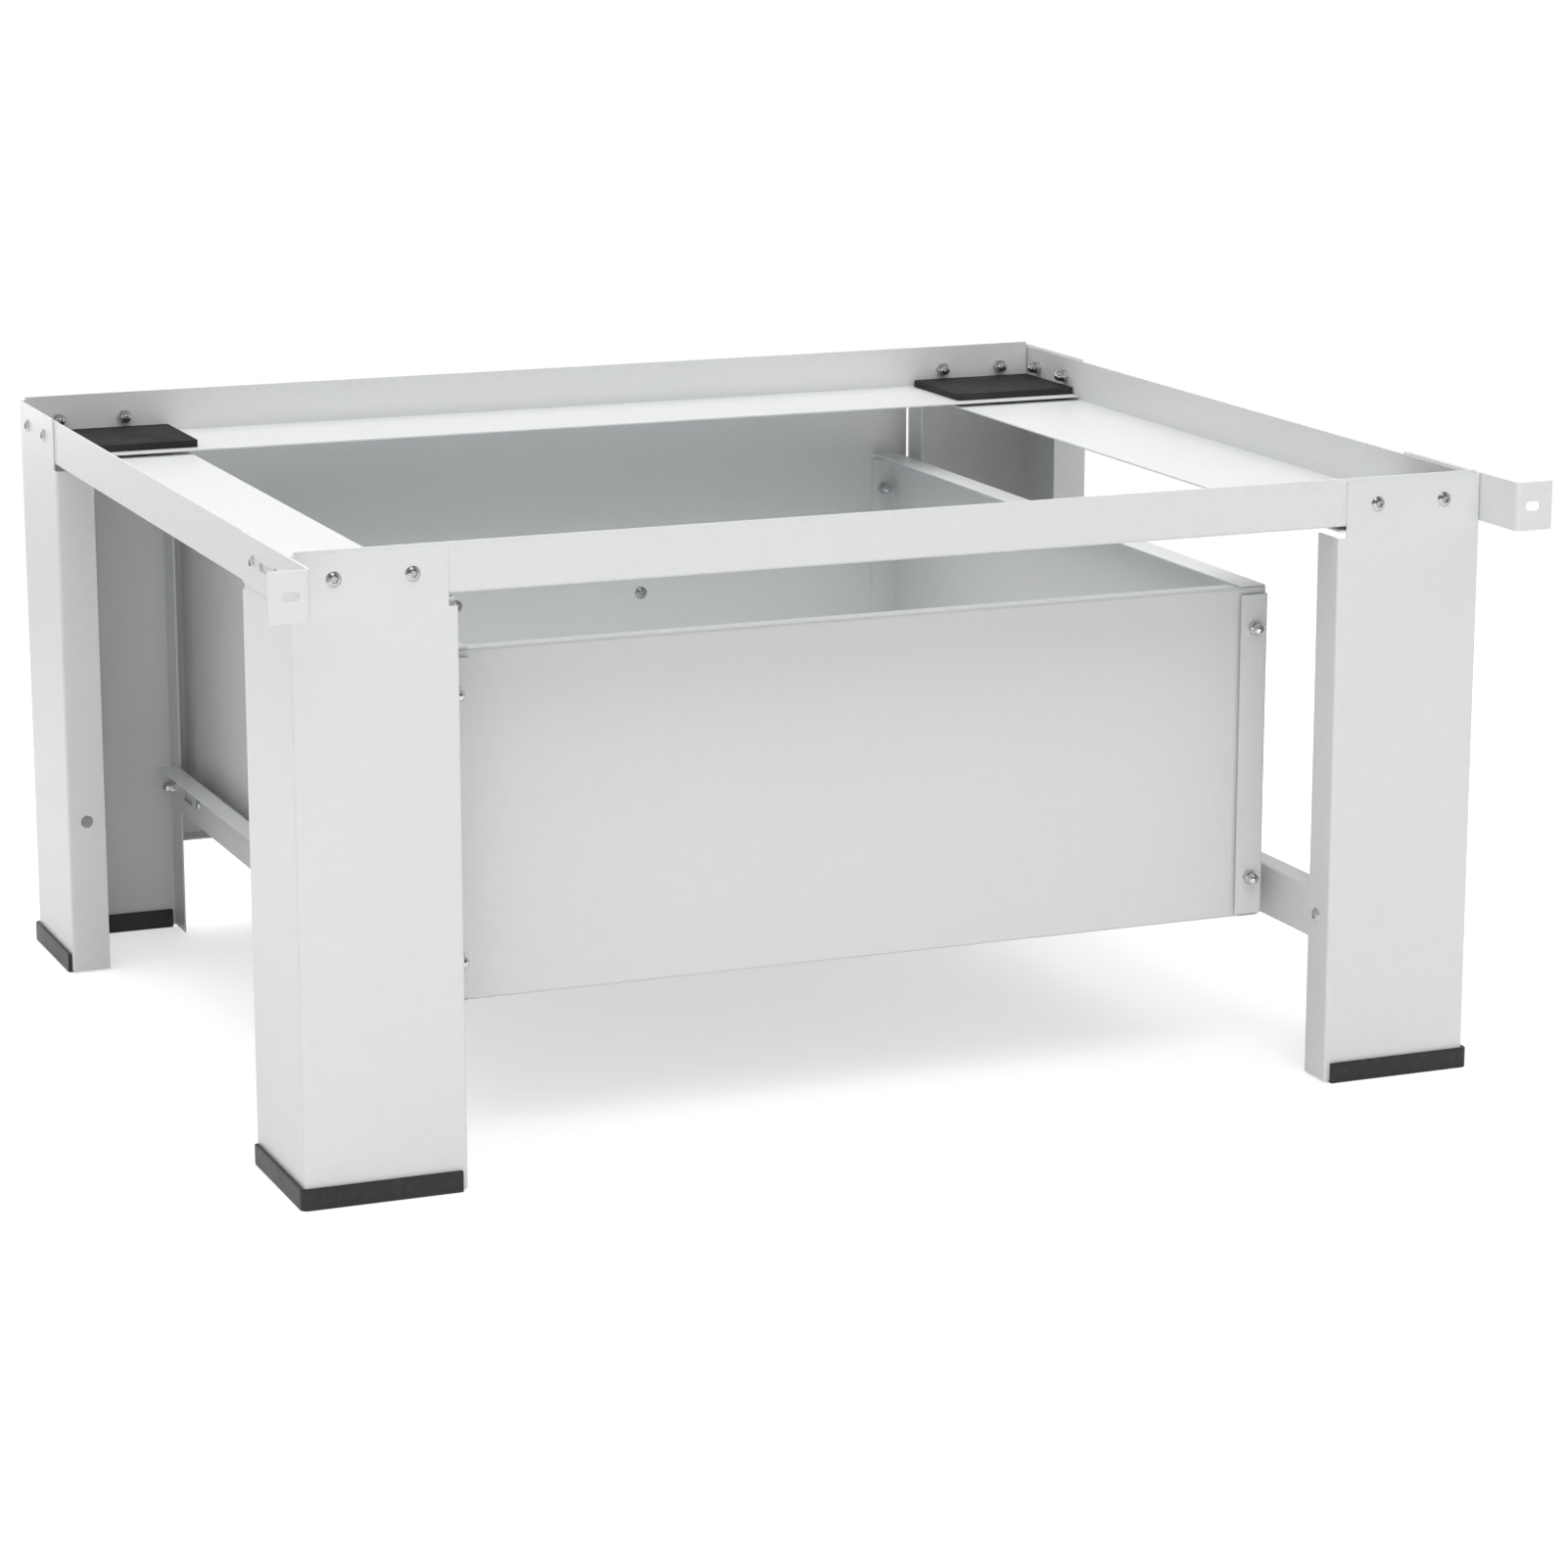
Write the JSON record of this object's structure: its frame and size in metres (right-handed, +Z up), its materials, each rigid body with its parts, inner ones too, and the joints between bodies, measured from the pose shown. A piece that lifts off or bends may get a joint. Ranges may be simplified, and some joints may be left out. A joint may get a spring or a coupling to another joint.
{
  "type": "washer pedestal drawer",
  "caption": "White sheet-steel pedestal for a front-loading washer, with folded legs, rubber feet and pads, wall brackets and a pull-out drawer on ball-bearing slides.",
  "frame": {"origin": "middle of the overall bounding box, handle and wall brackets included, at floor level", "axes": "+X to the right seen from the drawer's front, +Y to the rear, +Z up; the drawer opens towards -Y"},
  "size_m": [0.666, 0.6026, 0.3145],
  "materials": {
    "white_powder_coat": "white powder coat, slightly textured, semi-gloss, on folded steel sheet",
    "black_cap": "black moulded, soft matte",
    "black_pad": "black rubber sheet, matte",
    "screw_steel": "bright zinc-plated steel",
    "nut_chrome": "bright nickel-plated",
    "zinc_steel": "zinc-plated sheet steel, satin",
    "ball_steel": "polished steel",
    "handle_steel": "satin stainless steel"
  },
  "bodies": {
    "frame": {"leg_front_left": "white_powder_coat", "leg_front_right": "white_powder_coat", "leg_rear_left": "white_powder_coat", "leg_rear_right": "white_powder_coat", "foot_cap_front_left": "black_cap", "foot_cap_front_right": "black_cap", "foot_cap_rear_left": "black_cap", "foot_cap_rear_right": "black_cap", "top_rail_front": "white_powder_coat", "top_rail_rear": "white_powder_coat", "top_rail_left": "white_powder_coat", "top_rail_right": "white_powder_coat", "pad_front_left": "black_pad", "pad_front_right": "black_pad", "pad_rear_left": "black_pad", "pad_rear_right": "black_pad", "wall_bracket_left": "white_powder_coat", "wall_bracket_right": "white_powder_coat", "frame_screws_front": "screw_steel", "frame_screws_rear": "screw_steel", "frame_screws_left": "screw_steel", "frame_screws_right": "screw_steel", "frame_nuts_front": "nut_chrome", "frame_nuts_rear": "nut_chrome", "frame_nuts_left": "nut_chrome", "frame_nuts_right": "nut_chrome", "runner_rail_left": "white_powder_coat", "runner_rail_right": "white_powder_coat", "runner_screws": "screw_steel", "runner_nuts": "nut_chrome", "slide_outer_left": "zinc_steel", "slide_outer_right": "zinc_steel", "slide_outer_rivets": "zinc_steel"},
    "drawer": {"slide_inner_left": "zinc_steel", "slide_inner_right": "zinc_steel", "slide_inner_screws": "screw_steel", "drawer_front": "white_powder_coat", "drawer_side_left": "white_powder_coat", "drawer_side_right": "white_powder_coat", "drawer_back": "white_powder_coat", "drawer_bottom": "white_powder_coat", "drawer_front_studs": "screw_steel", "drawer_front_nuts": "nut_chrome", "drawer_back_screws": "screw_steel", "drawer_back_nuts": "nut_chrome", "drawer_bottom_rivets": "zinc_steel", "handle": "handle_steel", "handle_screws": "screw_steel"},
    "ball_cage_left": {"ball_cage_left": "zinc_steel", "slide_balls_left": "ball_steel"},
    "ball_cage_right": {"ball_cage_right": "zinc_steel", "slide_balls_right": "ball_steel"}
  },
  "joints": [
    {"name": "drawer_slide", "type": "slide", "parent": "frame", "child": "drawer", "axis": [0, -1, 0], "range_m": [0, 0.29]},
    {"name": "ball_cage_left_slide", "type": "slide", "parent": "frame", "child": "ball_cage_left", "axis": [0, -1, 0], "range_m": [0, 0.145]},
    {"name": "ball_cage_right_slide", "type": "slide", "parent": "frame", "child": "ball_cage_right", "axis": [0, -1, 0], "range_m": [0, 0.145]}
  ],
  "couplings": [
    {"joint": "ball_cage_left_slide", "follows": "drawer_slide", "ratio": 0.5},
    {"joint": "ball_cage_right_slide", "follows": "drawer_slide", "ratio": 0.5}
  ]
}
